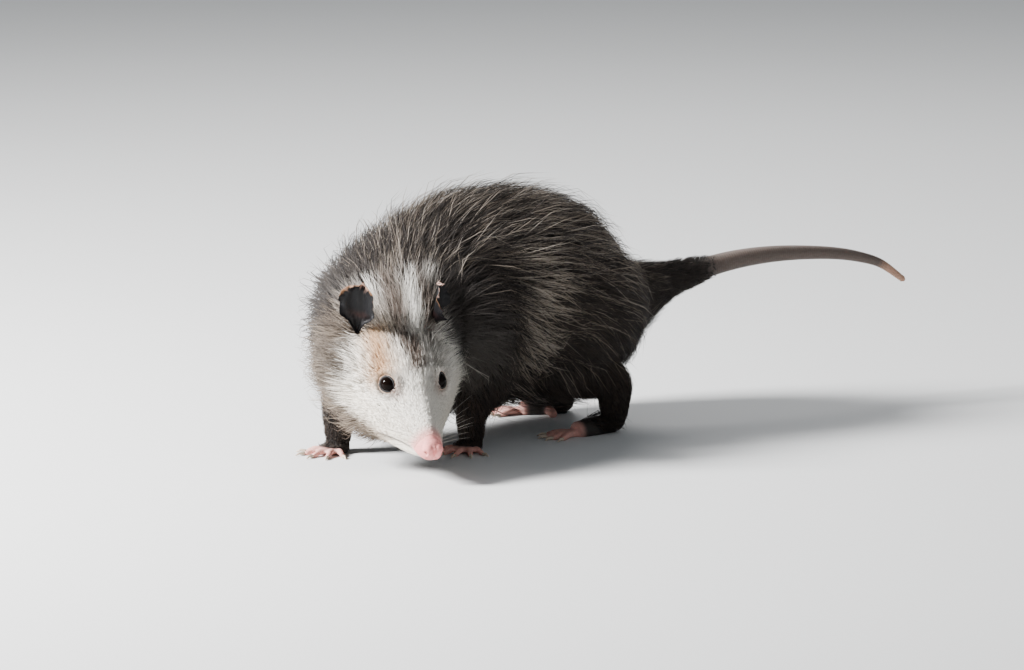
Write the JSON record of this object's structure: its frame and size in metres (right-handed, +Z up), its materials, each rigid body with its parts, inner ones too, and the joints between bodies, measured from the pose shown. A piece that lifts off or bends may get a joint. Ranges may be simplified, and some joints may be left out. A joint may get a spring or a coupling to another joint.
{
  "type": "virginia opossum",
  "caption": "Still life-size Virginia opossum walking with an arched back, its head lowered and turned to its left, coarse grey coat, white face and a bare scaly tail held out behind",
  "frame": {"origin": "the middle of the floor under the whole animal's box", "axes": "+Z up; the body runs along Y with its chest towards -Y and its tail towards +Y; the animal's left side is +X, and its head is turned towards +X"},
  "size_m": [0.2034, 0.5304, 0.1831],
  "materials": {
    "face_fur": "short cream-white fur",
    "grey_coat": "long pale guard hairs over a charcoal-brown undercoat",
    "dark_coat": "short blackish fur",
    "ear_skin": "thin bare black skin with a worn pinkish-tan rim",
    "nose_skin": "moist pink bare skin",
    "eye": "glossy black",
    "foot_skin": "dark skin with pink toes and pale claws",
    "tail_skin": "scaly bare skin, paler towards the tip"
  },
  "bodies": {
    "root": {"ear_left": "ear_skin", "ear_right": "ear_skin", "eye_left": "eye", "eye_right": "eye", "forefoot_left": "foot_skin", "forefoot_right": "foot_skin", "foreleg_left": "dark_coat", "foreleg_right": "dark_coat", "head": "face_fur", "hindfoot_left": "foot_skin", "hindfoot_right": "foot_skin", "hindleg_left": "dark_coat", "hindleg_right": "dark_coat", "neck": "grey_coat", "nose_pad": "nose_skin", "tail_middle": "tail_skin", "tail_root": "dark_coat", "tail_tip": "tail_skin", "torso": "grey_coat"}
  },
  "joints": []
}
